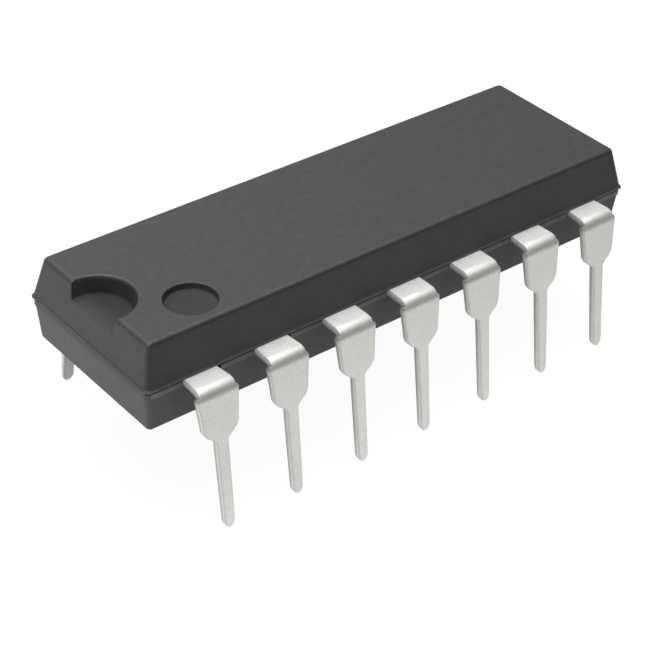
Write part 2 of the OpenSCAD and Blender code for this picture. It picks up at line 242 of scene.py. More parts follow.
def bridge_faces(first, first_place, second, second_place):
    """Triangles between two closed rings of different counts. The places run from 0 to 1 round each
    ring. All steps of both rings are sorted by place, and each step adds one triangle."""
    steps = np.concatenate([np.append(first_place[1:], 1.0), np.append(second_place[1:], 1.0)])
    order = np.argsort(steps, kind="stable")
    on_first = order < len(first)
    at_first = np.cumsum(on_first)
    at_second = np.cumsum(~on_first)
    last_first, last_second = first[at_first - 1], second[at_second - 1]
    next_first, next_second = first[at_first % len(first)], second[at_second % len(second)]
    before = np.where(on_first, last_first, last_second)
    after = np.where(on_first, next_first, next_second)
    across = np.where(on_first, next_second, next_first)
    return np.stack([before, after, across], 1)


def closed_mesh(name, points, faces, merge, sharp, values):
    """A mesh object from points and faces: doubles merged, normals outwards, smooth but for edges
    sharper than the given angle. The values are point attributes by name."""
    mesh = bpy.data.meshes.new(name)
    mesh.from_pydata(points.tolist(), [], [f.tolist() for f in faces])
    for label, value in values.items():
        mesh.attributes.new(label, "FLOAT", "POINT").data.foreach_set("value", value.astype(np.float32))
    work = bmesh.new()
    work.from_mesh(mesh)
    bmesh.ops.remove_doubles(work, verts=work.verts, dist=merge)
    bmesh.ops.dissolve_degenerate(work, edges=work.edges, dist=merge)
    bmesh.ops.recalc_face_normals(work, faces=work.faces)
    work.to_mesh(mesh)
    work.free()
    mesh.shade_smooth()
    mesh.set_sharp_from_angle(angle=np.radians(sharp))
    piece = bpy.data.objects.new(name, mesh)
    bpy.context.scene.collection.objects.link(piece)
    return piece


def on_circle(a, b):
    """Turns points on square rings onto circles of the same size: how far a point lies along its side
    becomes its angle. Gives both coordinates and the size."""
    smallest = 1e-9
    size = np.maximum(np.maximum(np.abs(a), np.abs(b)), smallest)
    turn_a, turn_b = np.pi / 4 * a / size, np.pi / 4 * b / size
    wide = np.abs(a) >= np.abs(b)
    round_a = np.where(wide, np.cos(turn_b) * np.sign(a), np.sin(turn_a)) * size
    round_b = np.where(wide, np.sin(turn_b), np.cos(turn_a) * np.sign(b)) * size
    return round_a, round_b, size


class Mark(NamedTuple):
    """A round recess in the top face. An open one runs out through the end wall."""

    centre: tuple
    radius: float
    depth: float
    zone: float
    is_open: bool


def body_marks(body):
    """The notch and the dimple, placed from the edge of the top face."""
    lip_top = body.lip_rim + body.lip_flare
    top_inset = body.lip_reach + (body.upper_height - lip_top) * np.tan(body.upper_draft)
    notch_x = BODY_LOW.x + top_inset + body.notch_inset
    place = (notch_x + body.dimple_along, -body.dimple_across)
    return (Mark((notch_x, 0.0), body.notch_radius, body.notch_depth, body.notch_zone, True),
            Mark(place, body.dimple_radius, body.dimple_depth, body.dimple_zone, False))


def recess_height(x, y, mark, body):
    """Height of a mark by the distance from its centre: a flat floor, an arc, a drafted wall and an
    arc at the rim, which ends flush with the top face. A shallow mark has a smaller rim."""
    away = np.hypot(x - mark.centre[0], y - mark.centre[1])
    top, floor = BODY_HIGH.z, BODY_HIGH.z - mark.depth
    rim = min(body.rim_radius, mark.depth / 5)
    foot = mark.radius - mark.depth * np.tan(body.mark_draft)
    profile = rounded_profile(
        [(0, floor), (foot, floor), (mark.radius, top), (mark.radius * 2, top)],
        [body.floor_radius, rim], steps=8)
    return np.interp(away, profile[:, 0], profile[:, 1])


def round_rings(points, mark, body):
    """Moves points in plan so that the square rings of the mesh round a mark become circles. The move
    fades out between the rim and the zone's edge. Past the centre of an open mark, only Y moves, and
    follows the cone's outline down the end wall."""
    x, y, z = points.T
    dx, dy = x - mark.centre[0], y - mark.centre[1]
    round_x, round_y, ring = on_circle(dx, dy)
    if mark.is_open:
        past = dx < 0
        ring = np.where(past, np.abs(dy), ring)
        down = np.clip(BODY_HIGH.z - z, 0, mark.depth)
        radius = mark.radius - down * np.tan(body.mark_draft)
        chord = np.sqrt(np.maximum(radius ** 2 - dx * dx, 0)) / mark.radius
        round_x = np.where(past, dx, round_x)
        round_y = np.where(past, dy * chord, round_y)
    start = mark.radius + body.fine_reach
    fade = eased((mark.zone - ring) / (mark.zone - start))
    return np.stack([x + fade * (round_x - dx), y + fade * (round_y - dy), z], 1)


def eased(value):
    """A value held between 0 and 1 and eased at both ends: three squares less two cubes."""
    value = np.clip(value, 0, 1)
    return value * value * (3 - 2 * value)


def press_marks(points, marks, body):
    """Lowers points of the upper half into the marks, straight down."""
    for mark in marks:
        points = round_rings(points, mark, body)
    x, y, z = points.T
    for mark in marks:
        z = np.minimum(z, recess_height(x, y, mark, body))
    return np.stack([x, y, z], 1)


def mark_lines(mark, body):
    """Distances from a mark's centre where the mesh has lines: fine across the wall, coarse inside."""
    wall_lines, outer_lines = 26, 5
    low = mark.radius - mark.depth * np.tan(body.mark_draft) - body.fine_reach
    high = mark.radius + body.fine_reach
    inside = np.linspace(0, low, int(np.ceil(low / body.coarse_step)) + 1)
    wall = np.linspace(low, high, wall_lines)
    return np.concatenate([inside[:-1], wall, np.linspace(high, mark.zone, outer_lines)[1:]])


class Cap:
    """A flat face with round corners, as a grid of lines along X and Y. Each line lies on the straight
    part, at a fixed distance from the middle, or in a corner, at 0 to 1 of the corner's radius. Round
    the corner the grid follows arcs: the larger share is the arc's radius, and the ratio its angle."""

    def __init__(self, x_lines, y_lines):
        corner_start = 1e-4
        corner = np.append(corner_start, np.arange(1, CORNER_STEPS + 1) / CORNER_STEPS)
        pad = np.ones(len(corner))
        straight_x = np.concatenate([0 * pad, x_lines, 0 * pad])
        straight_y = np.concatenate([0 * pad, y_lines, 0 * pad])
        end_x = np.concatenate([-pad, 0 * x_lines, pad])
        end_y = np.concatenate([-pad, 0 * y_lines, pad])
        a = np.concatenate([-corner[::-1], np.zeros(len(x_lines)), corner])[:, None]
        b = np.concatenate([-corner[::-1], np.zeros(len(y_lines)), corner])[None, :]
        self.count = (len(straight_x), len(straight_y))
        self.straight = np.stack(np.broadcast_arrays(straight_x[:, None], straight_y[None, :]), -1)
        self.end = np.stack(np.broadcast_arrays(end_x[:, None], end_y[None, :]), -1)
        self.reach = np.stack(on_circle(a, b)[:2], -1)
        i, j = np.meshgrid(np.arange(self.count[0]), np.arange(self.count[1]), indexing="ij")
        ends = (slice(0, -1), 0), (-1, slice(0, -1)), (slice(-1, 0, -1), -1), (0, slice(-1, 0, -1))
        self.edge = (np.concatenate([i[e] for e in ends]), np.concatenate([j[e] for e in ends]))

    def face(self, centre_inset, radius, height):
        """Points of the whole face."""
        half = np.array([BODY_HIGH.x, BODY_HIGH.y]) - centre_inset
        flat = self.straight + self.end * half + self.reach * radius
        return np.concatenate([flat, np.full(flat.shape[:2] + (1,), height)], -1).reshape(-1, 3)

    def rings(self, centre_inset, radius, height):
        """Points of the outline at several levels, as levels by points by three."""
        half = np.array([BODY_HIGH.x, BODY_HIGH.y]) - np.asarray(centre_inset)[:, None, None]
        flat = self.end[self.edge] * half + self.reach[self.edge] * np.asarray(radius)[:, None, None]
        flat = flat + self.straight[self.edge]
        z = np.broadcast_to(np.asarray(height)[:, None, None], flat.shape[:2] + (1,))
        return np.concatenate([flat, z], -1)

    def places(self):
        """How far round the outline each point is, from 0 to 1, with a usual corner."""
        ring = self.rings([0.3 * MM], [0.3 * MM], [0.0])[0]
        step = np.linalg.norm(np.roll(ring, -1, 0) - ring, axis=1)
        return np.concatenate([[0.0], np.cumsum(step)[:-1]]) / step.sum()


def filled_lines(lines, high, step):
    """The given line positions between -high and high, with more wherever two lie over a step apart.
    Lines that all but coincide become one."""
    closest, slack = 0.002 * MM, 1e-9
    lines = np.unique(np.round(np.concatenate([[-high, high], *lines]), 8))
    lines = lines[np.abs(lines) <= high + slack]
    lines = lines[np.append(True, np.diff(lines) > closest)]
    counts = np.maximum(np.ceil(np.diff(lines) / step), 1).astype(int)
    filled = [np.linspace(a, b, n + 1)[:-1] for a, b, n in zip(lines[:-1], lines[1:], counts)]
    return np.concatenate([*filled, lines[-1:]])


def rounded_profile(corners, radii, steps):
    """A profile of (inset, height) with each inner corner replaced by an arc, which touches both of
    its sides. An arc's points are turned evenly about its centre."""
    corners = np.asarray(corners, float)
    out = [corners[0]]
    for here, before, after, radius in zip(corners[1:-1], corners[:-2], corners[2:], radii):
        back = (before - here) / np.linalg.norm(before - here)
        on = (after - here) / np.linalg.norm(after - here)
        half = np.arccos(np.clip(back @ on, -1, 1)) / 2
        middle = (back + on) / np.linalg.norm(back + on)
        centre = here + middle * radius / np.sin(half)
        first = here + back * radius / np.tan(half) - centre
        last = here + on * radius / np.tan(half) - centre
        sweep = np.linspace(0, 1, steps + 1)[:, None]
        opening = np.pi - 2 * half
        out.extend(centre + (np.sin((1 - sweep) * opening) * first + np.sin(sweep * opening) * last)
                   / np.sin(opening))
    out.append(corners[-1])
    return np.array(out)


def seam_heights(body):
    """Heights of the leads' underside, their top and the top of the lip."""
    lead_top = BODY_HIGH.z - body.upper_height
    return BODY_LOW.z + body.lower_height, lead_top, lead_top + body.lip_rim + body.lip_flare


def upper_levels(body):
    """Levels of the upper half from the top face's edge down to the lip's underside, as the inset of
    the corner's centre, the corner's radius and the height. They lie closer at the marks' floors."""
    flare_radius = past_floor = 0.02 * MM
    top = BODY_HIGH.z
    _, lead_top, lip_top = seam_heights(body)
    turn = np.linspace(np.pi / 2, 0, EDGE_POINTS)
    round_z = top - body.top_radius * (1 - np.sin(turn))
    round_radius = body.corner_radius - body.top_radius * (1 - np.cos(turn))
    floor = top - body.notch_depth
    wall = np.concatenate([
        np.linspace(round_z[-1], floor + body.floor_radius, 8)[1:-1],
        np.linspace(floor + body.floor_radius, floor - past_floor, 9),
        [(floor + lip_top) / 2]])
    z = np.concatenate([round_z, wall])
    inset = body.lip_reach + (z - lip_top) * np.tan(body.upper_draft)
    radius = np.concatenate([round_radius, np.full(len(wall), body.corner_radius)])
    last = np.array([inset[-1], z[-1]])
    lip = rounded_profile(
        [last, (body.lip_reach, lip_top), (0, lead_top + body.lip_rim), (0, lead_top),
         (body.band_setback * UPPER_END, lead_top)],
        [flare_radius, body.lip_softness, body.lip_softness], steps=4)[1:]
    return (np.concatenate([inset, lip[:, 0]]) + body.corner_radius,
            np.concatenate([radius, np.full(len(lip), body.corner_radius)]),
            np.concatenate([z, lip[:, 1]]))


def lower_levels(body):
    """Levels from the lip's underside down to the bottom face's edge, in the same form, with the
    numbers of the levels of the crease and the band, which the gaps cut back. The crease's wall is
    upright for a part of its height and then slopes out to the band."""
    upright_share, soft_inset = 0.6, 0.3
    bottom = BODY_LOW.z
    lead_bottom, lead_top, _ = seam_heights(body)
    step = body.band_setback + body.lower_setback
    turn = np.linspace(0, np.pi / 2, EDGE_POINTS)
    round_z = bottom + body.bottom_radius * (1 - np.sin(turn))
    round_radius = body.corner_radius - body.bottom_radius * (1 - np.cos(turn))
    soft = body.lip_softness
    crease = body.band_setback + body.crease_depth
    inset = np.concatenate([
        [body.band_setback * LOWER_START, crease, crease, body.band_setback, body.band_setback, step,
         step + soft * soft_inset],
        step + (lead_bottom - round_z) * np.tan(body.lower_draft)])
    z = np.concatenate([
        [lead_top, lead_top - 3 * TOLERANCE, lead_top - body.crease_height * upright_share,
         lead_top - body.crease_height, lead_bottom, lead_bottom, lead_bottom - soft], round_z])
    radius = np.concatenate([np.full(7, body.corner_radius), round_radius])
    return inset + body.corner_radius, radius, z, (1, 2, 3, 4)


def lead_columns(leads):
    """X of the leads in a row."""
    return (np.arange(LEADS_PER_ROW) - (LEADS_PER_ROW - 1) / 2) * leads.pitch


def gap_depth(x, body, leads):
    """How far the band lies back at each X: the gap's depth from a lead's middle to just short of the
    gap's edge on the side away from the notch, and 0 elsewhere."""
    inner_share = 0.95
    reach = leads.width / 2 + body.band_gap * inner_share
    away = x[..., None] - lead_columns(leads)
    return body.band_gap_depth * ((away >= 0) & (away < reach)).any(-1)


def upper_half(body):
    """Grid, points and count of rings of the upper half: a fine cap and the rings round it, pressed
    down into the notch and the dimple."""
    along_step, across_step = 0.9 * MM, 0.4 * MM
    inset, radius, z = upper_levels(body)
    notch, dimple = marks = body_marks(body)
    at_notch, at_dimple = mark_lines(notch, body), mark_lines(dimple, body)
    dimple_x, dimple_y = dimple.centre
    along = [notch.centre[0] + at_notch, dimple_x + at_dimple, dimple_x - at_dimple]
    across = [at_notch, -at_notch, dimple_y + at_dimple, dimple_y - at_dimple]
    grid = Cap(filled_lines(along, BODY_HIGH.x - inset[0], along_step),
               filled_lines(across, BODY_HIGH.y - inset[0], across_step))
    points = [grid.face(inset[0], radius[0], z[0]), grid.rings(inset, radius, z).reshape(-1, 3)]
    return grid, press_marks(np.concatenate(points), marks, body), len(z)


def lower_half(body, leads):
    """Grid, points and count of rings of the rest: the rings of the band and the lower half, with the
    gaps beside the leads, and the underside with its ejector marks."""
    along_step, across_step = 0.9 * MM, 0.5 * MM
    gap_edge, mark_reach = 0.985, 1.12
    inset, radius, z, cut_levels = lower_levels(body)
    half_y = BODY_HIGH.y - inset[-1]
    outer = leads.width / 2 + body.band_gap
    edges = [lead_columns(leads) + outer * side for side in (-1, -gap_edge, gap_edge, 1)]
    reach = body.ejector_radius * mark_reach
    across = np.arange(-reach, reach, body.mark_step)
    along = [across + side * body.ejector_along for side in (-1, 1)]
    grid = Cap(filled_lines([*along, *edges], BODY_HIGH.x - inset[-1], along_step),
               filled_lines([across], half_y, across_step))
    rings = grid.rings(inset, radius, z)
    long_side = np.abs(rings[0, :, 1]) > half_y
    pocket = gap_depth(rings[cut_levels[0], :, 0], body, leads) * long_side
    for level in cut_levels:
        rings[level, :, 1] -= np.sign(rings[level, :, 1]) * pocket
    under = grid.face(inset[-1], radius[-1], z[-1])
    for side in (-1, 1):
        away = np.hypot(under[:, 0] - side * body.ejector_along, under[:, 1])
        under[:, 2] += body.ejector_depth * eased((body.ejector_radius - away) / body.mark_step)
    return grid, np.concatenate([rings.reshape(-1, 3), under]), len(z)


def build_body(body, leads):
    """The resin body's outer surface: both halves, with triangles between their nearest rings."""
    upper, upper_points, upper_rings = upper_half(body)
    lower, lower_points, lower_rings = lower_half(body, leads)
    upper_count, lower_count = len(upper.edge[0]), len(lower.edge[0])
    lower_start = len(upper_points)
    last_upper = lower_start - upper_count + np.arange(upper_count)
    first_lower = lower_start + np.arange(lower_count)
    faces = [
        *grid_faces(*upper.count),
        *grid_faces(upper_rings, upper_count, wrap=True, start=upper.count[0] * upper.count[1]),
        *bridge_faces(last_upper, upper.places(), first_lower, lower.places()),
        *grid_faces(lower_rings, lower_count, wrap=True, start=lower_start),
        *grid_faces(*lower.count, start=lower_start + lower_rings * lower_count)]
    points = np.concatenate([upper_points, lower_points])
    masks = finish_masks(points, body)
    piece = closed_mesh("resin_body", points, faces, merge=2e-7, sharp=40, values=masks)
    paint_long_side_shade(piece.data, body)
    return piece


def paint_long_side_shade(mesh, body):
    """Point attribute long_side, which paints shade on the long sides: 1 where the resin faces across
    the package, above the lip and below the band, and less where its normal turns away."""
    turned, square, near_edge = 0.5, 0.9, 0.8
    places = np.empty(len(mesh.vertices) * 3)
    normals = np.empty(len(mesh.vertices) * 3)
    mesh.vertices.foreach_get("co", places)
    mesh.vertices.foreach_get("normal", normals)
    y, z = places.reshape(-1, 3).T[1:]
    facing = np.clip((np.abs(normals[1::3]) - turned) / (square - turned), 0, 1)
    lead_bottom, _, lip_top = seam_heights(body)
    above = z > lip_top
    below = z < lead_bottom - body.lip_softness / 2
    outside = np.abs(y) > BODY_HIGH.y * near_edge
    value = (facing * (outside & (above | below))).astype(np.float32)
    mesh.attributes.new("long_side", "FLOAT", "POINT").data.foreach_set("value", value)


def finish_masks(points, body):
    """Point attributes for the material. The first paints shade into the marks and makes them more matt:
    it is
    1 at the notch's closed end, falls to 0.35 at its open end and is 0.7 in the dimple. band is 1 on the
    band between the leads and half on the lip's rim, where it paints a highlight. crease is 1 under the
    lip, where it paints shade."""
    opening, dimple_shade_level, rim_highlight, crease_share, rim_width = -0.3, 0.7, 0.5, 0.7, 0.02 * MM
    x, y, z = points.T
    notch, dimple = body_marks(body)
    # Painted shade in the notch and the dimple, weaker towards the notch's open end
    inwards = np.clip((x - notch.centre[0]) / (notch.radius / 2), opening, 1)
    recess_shade_and_matt = np.zeros(len(x))
    for mark, level in ((notch, (1 + inwards) / 2), (dimple, dimple_shade_level)):
        away = np.hypot(x - mark.centre[0], y - mark.centre[1])
        deep = np.clip((BODY_HIGH.z - z) / mark.depth * 4, 0, 1)
        inside = (away < mark.radius) & (z > BODY_HIGH.z - mark.depth - TOLERANCE)
        recess_shade_and_matt = np.maximum(recess_shade_and_matt, np.where(inside, deep * level, 0))
    lead_bottom, lead_top, _ = seam_heights(body)
    side = np.abs(np.abs(y) - BODY_HIGH.y + body.band_setback) < 2 * TOLERANCE
    band = side & (z > lead_bottom - TOLERANCE) & (z < lead_top + TOLERANCE)
    # The lip's outer rim takes half of the band's lightening as a painted highlight
    rim = (z > lead_top - TOLERANCE) & (z < lead_top + body.lip_rim + rim_width / 2)
    outside = np.minimum(BODY_HIGH.x - np.abs(x), BODY_HIGH.y - np.abs(y)) < rim_width
    # Painted shade in the crease under the lip
    crease = (z < lead_top - TOLERANCE) & (z > lead_top - body.crease_height * crease_share) & ~band
    return {"recess_shade_and_matt": recess_shade_and_matt, "band": np.where(rim & outside, rim_highlight, band), "crease": crease}


def arc(centre, radius, start, end, steps):
    """Points of an arc in a plane, from one angle to another."""
    turn = np.linspace(start, end, steps + 1)
    return np.stack([centre[0] + radius * np.cos(turn), centre[1] + radius * np.sin(turn)], 1)


def leg_outline(leads):
    """Half width and height down the front view of a leg, from the shoulders to the round tip:
    shoulder arc, slope, neck arc, tapered pin and a tip of half an ellipse."""
    tip = leads.tip_width / 2
    pin = leads.pin_width / 2
    radii = leads.shoulder_radius + leads.neck_radius
    slope = leads.shoulder_slope
    run = leads.blade_low_width / 2 - pin - radii * (1 - np.cos(slope))
    shoulder_z = leads.pin_length + radii * np.sin(slope) + run / np.tan(slope)
    shoulder = (leads.blade_low_width / 2 - leads.shoulder_radius, shoulder_z)
    neck = (pin + leads.neck_radius, leads.pin_length)
    return np.concatenate([
        arc(shoulder, leads.shoulder_radius, 0, -slope, steps=12),
        arc(neck, leads.neck_radius, np.pi - slope, np.pi, steps=8),
        arc((0, 1), 1, 0, -np.pi / 2, steps=16) * (tip, tip * leads.tip_length)])


class LeadPath:
    """The centre line of a bend and leg on the +Y side. Distance along it is 0 where the bend begins."""

    def __init__(self, leads, flat_z):
        self.half = leads.thickness / 2
        self.splay = leads.splay
        self.radius = leads.bend_radius + self.half
        outer = leads.bend_radius + leads.thickness
        self.centre = np.array([leads.row_spacing / 2 + self.half - outer, flat_z - self.radius])
        self.bend_end = self.radius * (np.pi / 2 - self.splay)
        self.end_z = self.centre[1] + self.radius * np.sin(self.splay)
        self.turn_length = 0.4 * MM

    def distance(self, z):
        """Distance along the leg to a height."""
        return self.bend_end + (self.end_z - z) / np.cos(self.splay)

    def place(self, along, offset):
        """Y and Z of points at a distance along the line and an offset through the thickness. The
        offset is square to the line in the bend, and turns to level at the top of the leg."""
        turn = np.pi / 2 - np.clip(along, 0, self.bend_end) / self.radius
        down = np.maximum(along - self.bend_end, 0)
        y = self.centre[0] + self.radius * np.cos(turn) + down * np.sin(self.splay)
        z = self.centre[1] + self.radius * np.sin(turn) - down * np.cos(self.splay)
        level = np.clip(down / self.turn_length, 0, 1)
        y = y + offset * (np.cos(turn) * (1 - level) + level / np.cos(self.splay))
        return y, z + offset * np.sin(turn) * (1 - level)


def lead_edge(leads, path):
    """Distance along, half width and edge radius at each station of a bend and leg: the flat, the
    step of the cut stub, the blade, the shoulders, the pin and the tip."""
    foot_radius, corner_length, station_gap = 0.012 * MM, 0.12 * MM, 0.03 * MM
    sharp_radius, sharp_reach = 0.02 * MM, 0.2 * MM
    narrow, wide = leads.width / 2, leads.blade_top_width / 2
    step = path.radius * (np.pi / 2 - np.arcsin(leads.stub_share))
    front = leg_outline(leads)
    flat = np.append(np.linspace(0, step - 2 * station_gap, 16), step - station_gap)
    foot = arc((step - foot_radius, narrow + foot_radius), foot_radius, -np.pi / 2, 0, steps=3)
    stub_foot = narrow + 2 * foot_radius
    corner = arc((0, 0), 1, np.pi, np.pi / 2, steps=6) * (corner_length, wide - stub_foot)
    corner = corner + (step + corner_length, stub_foot)
    blade = np.linspace(step + corner_length + station_gap, path.distance(front[0, 1]), 14)[:-1]
    low = np.stack([path.distance(front[:, 1]), front[:, 0]], 1)
    share_down = (blade - corner[-1, 0]) / (low[0, 0] - corner[-1, 0])
    edge = np.concatenate([
        np.stack([flat, np.full(len(flat), narrow)], 1), foot, corner,
        np.stack([blade, wide + (low[0, 1] - wide) * share_down], 1), low])
    near_step = np.clip(np.abs(edge[:, 0] - step) / sharp_reach, 0, 1)
    return edge[:, 0], edge[:, 1], sharp_radius + (leads.edge_radius - sharp_radius) * near_step


def finger_rows(column, leads, half_width):
    """Points, side directions and half widths at the finger's tip, knee and root."""
    outward, rank = np.sign(column), abs(column)
    end_x = leads.paddle_length / 2 + leads.finger_gap
    first_y = leads.tie_bar_width / 2 + leads.finger_gap + leads.finger_tip_width / 2
    root = np.array([column * leads.pitch, half_width - leads.finger_root])
    if rank <= 1:
        tip = np.array([column * leads.finger_tip_spacing, root[1] - leads.finger_run])
        knee = root + (tip - root) * (leads.side_knee_share, 0.5) + (0, leads.side_knee_rise)
    elif rank == 2:
        tip = np.array([outward * end_x, first_y + leads.finger_tip_width + leads.finger_gap])
        knee_x = root[0] + leads.next_knee_share * (tip - root)[0]
        knee = np.array([knee_x, root[1] - leads.next_knee_drop])
    else:
        tip = np.array([outward * end_x, first_y])
        knee = root + (tip - root) * (0.5, leads.end_knee_share)
    points = np.array([tip, knee, root, root + (0, leads.finger_root)])
    step = np.diff(points, axis=0)
    step = step / np.linalg.norm(step, axis=1)[:, None]
    along = np.concatenate([step[:1], step[:-1] + step[1:]])
    along = along / np.linalg.norm(along, axis=1)[:, None]
    side = np.stack([along[:, 1], -along[:, 0]], 1)
    return points[:3], side, np.array([leads.finger_tip_width, leads.finger_knee_width, leads.width]) / 2


def build_lead(name, column, side_of_row, leads, half_width, flat_z):
    """One lead: a strip with rounded edges, carried along the finger, the bend and the leg. Each row
    is a rectangle whose corners are quarter circles, and the quarter circles stand square to the
    edge, so that they run round the shoulders and the tip too. The tip is thinned on its inner face. Its
    masks paint shade along the rounded edges and on the inner face, and a dark reflection just under the
    bend."""
    path = LeadPath(leads, flat_z)
    quarter = np.linspace(0, np.pi / 2, 5)
    depth = np.concatenate([1 - np.cos(quarter[::-1]), 1 - np.cos(quarter)] * 2)
    inward = np.concatenate([1 - np.sin(quarter[::-1]), 1 - np.sin(quarter)])
    inward = np.concatenate([inward, inward])
    hand = np.repeat([1.0, -1.0], 2 * len(quarter))
    face = np.concatenate([np.repeat([1.0, -1.0], len(quarter)), np.repeat([-1.0, 1.0], len(quarter))])

    along, wide, radius = lead_edge(leads, path)
    slope = np.stack([np.gradient(along), np.gradient(wide)], 1)
    slope = slope / np.linalg.norm(slope, axis=1)[:, None]
    slope[-1] = (0, -1)
    cut = radius[:, None] * depth[None, :]
    near_tip = np.clip((along - along[-1]) / leads.tip_taper + 1, 0, 1)[:, None]
    thinned = leads.thickness * leads.tip_thinning * near_tip ** 2
    offset = face * (path.half - radius[:, None] * inward) + (face < 0) * thinned
    x = column * leads.pitch + hand * (wide[:, None] - cut * slope[:, :1])
    y, z = path.place(along[:, None] + cut * slope[:, 1:], offset)
    leg = np.stack([x, y, z], -1)

    middle, side, half = finger_rows(column, leads, half_width)
    reach = hand * (half[:, None] - leads.edge_radius * depth)
    flat = middle[:, None, :] + side[:, None, :] * reach[..., None]
    height = flat_z + face * (path.half - leads.edge_radius * inward)
    finger = np.concatenate([flat, np.broadcast_to(height[None, :, None], flat.shape[:2] + (1,))], -1)

    rows = np.concatenate([finger, leg])
    # Painted shade along the middle of each rounded edge, as a dark outline
    corner = np.sin(2 * np.concatenate([quarter[::-1], quarter] * 2)) ** 2
    # A painted dark reflection of the horizon, as a stripe just under the bend
    stripe = np.exp(-((along - leads.stripe_along) / leads.stripe_width) ** 2)
    stripe = np.concatenate([np.zeros(len(finger)), stripe])
    # The inner face gets painted shade
    masks = {"coined": corner, "stripe": stripe[:, None], "inner": face < 0}
    values = {label: np.broadcast_to(mask, rows.shape[:2]).ravel() for label, mask in masks.items()}
    points = rows.reshape(-1, 3) * (1, side_of_row, 1)
    count = rows.shape[1]
    faces = [*grid_faces(rows.shape[0], count, wrap=True), np.arange(count)]
    piece = closed_mesh(name, points, faces, merge=1e-8, sharp=50, values=values)
    add_weighted_normals(piece)
    return piece


def add_weighted_normals(piece):
    """Keeps flat faces flat in their shading, with the turn left to the rounded edges."""
    modifier = piece.modifiers.new("weighted_normals", "WEIGHTED_NORMAL")
    modifier.keep_sharp = True
    modifier.weight = 50


def feed(tree, socket, source):
    """Links an input to a node's output, or gives it a plain value."""
    if isinstance(source, bpy.types.NodeSocket):
        tree.links.new(source, socket)
    else:
        socket.default_value = source


def add_node(tree, kind, settings=(), **inputs):
    """A node of a kind with its settings. Each named input takes a value or another node's output."""
    node = tree.nodes.new(kind)
    for name, value in dict(settings).items():
        setattr(node, name, value)
    for name, source in inputs.items():
        feed(tree, node.inputs[name.replace("_", " ")], source)
    return node


def combined(tree, operation, *sources):
    """One to three values through a math node."""
    node = add_node(tree, "ShaderNodeMath", {"operation": operation})
    for socket, source in zip(node.inputs, sources):
        feed(tree, socket, source)
    return node.outputs[0]


def compared(tree, operation, source, fixed):
    """One number from a vector and a fixed one: their distance or their dot product."""
    node = add_node(tree, "ShaderNodeVectorMath", {"operation": operation})
    feed(tree, node.inputs[0], source)
    feed(tree, node.inputs[1], fixed)
    return node.outputs["Value"]


def mapped(tree, source, start, end, low, high, kind="SMOOTHSTEP"):
    """A value carried from one range to another, smoothly unless said otherwise."""
    node = add_node(tree, "ShaderNodeMapRange", {"interpolation_type": kind}, Value=source,
                    From_Min=start, From_Max=end, To_Min=low, To_Max=high)
    return node.outputs["Result"]


def spread(tree, noise, low, high):
    """The usual range of a noise, 0.3 to 0.7, carried to a range of values."""
    return mapped(tree, noise, 0.3, 0.7, low, high, "LINEAR")


def mixed(tree, factor, first, second, blend="MIX"):
    """Two colours mixed by a factor."""
    settings = {"data_type": "RGBA", "blend_type": blend}
    return add_node(tree, "ShaderNodeMix", settings, Factor=factor, A=first, B=second).outputs["Result"]


def toned(tree, base, mask, by):
    """A base colour that a mask darkens and lightens by a share."""
    dark, light = ((*(value * level for value in base), 1) for level in (1 - by, 1 + by))
    return mixed(tree, spread(tree, mask, 0.0, 1.0), dark, light)


def marked(tree, attribute):
    """A point attribute of the mesh."""
    return add_node(tree, "ShaderNodeAttribute", {"attribute_name": attribute}).outputs["Fac"]


def scaled(tree, source, factor, attribute):
    """A colour multiplied by a factor where a mesh attribute is 1."""
    return mixed(tree, marked(tree, attribute), source, (*factor, 1), "MULTIPLY")


def close_group(tree, **values):
    """Gives a node group its outputs, as values by name."""
    for label in values:
        tree.interface.new_socket(label, in_out="OUTPUT", socket_type="NodeSocketFloat")
    output = tree.nodes.new("NodeGroupOutput")
    for label, value in values.items():
        tree.links.new(value, output.inputs[label])
    return tree


def grain_group(name, coarse, fine, stretch):
    """A node group with a coarse and a fine noise on Object coordinates. It puts out both as masks from
    0 to 1, and a Height for a Bump, in which the coarse one is multiplied by the stretch."""
    tree = bpy.data.node_groups.new(name, "ShaderNodeTree")
    place = tree.nodes.new("ShaderNodeTexCoord").outputs["Object"]
    large, small = (
        add_node(tree, "ShaderNodeTexNoise", Vector=place, Scale=1 / size, Detail=detail,
                 Roughness=0.6).outputs["Fac"]
        for size, detail in ((coarse, 3.0), (fine, 2.0)))
    height = combined(tree, "MULTIPLY_ADD", large, stretch, small)
    return close_group(tree, Mask=large, Fine=small, Height=height)


def painted_sheet_group(stage):
    """A node group that puts out how bright the floor's glow is in reflections: a painted shadow under
    the package, and a painted pool of light that dims away from a place beside its notched end."""
    tree = bpy.data.node_groups.new("painted_floor_light", "ShaderNodeTree")
    place = tree.nodes.new("ShaderNodeTexCoord").outputs["Object"]
    away = compared(tree, "DISTANCE", place, (stage.sheet_x, stage.sheet_y, 0))
    level = mapped(tree, away, stage.sheet_near, stage.sheet_far,
                   stage.floor_reflected, stage.floor_reflected * stage.sheet_edge)
    axes = add_node(tree, "ShaderNodeSeparateXYZ", Vector=place)
    past = [combined(tree, "SUBTRACT", combined(tree, "ABSOLUTE", axes.outputs[axis]), side)
            for axis, side in (("X", BODY_HIGH.x), ("Y", BODY_HIGH.y))]
    # A painted shadow under the package
    under = mapped(tree, combined(tree, "MAXIMUM", *past), -stage.under_edge, stage.under_edge,
                   stage.painted_shadow_level, 1.0)
    return close_group(tree, Level=combined(tree, "MULTIPLY", level, under))


def new_material(name):
    """A node material with an empty tree."""
    material = bpy.data.materials.new(name + "_finish")
    material.use_nodes = True
    material.node_tree.nodes.clear()
    return material, material.node_tree


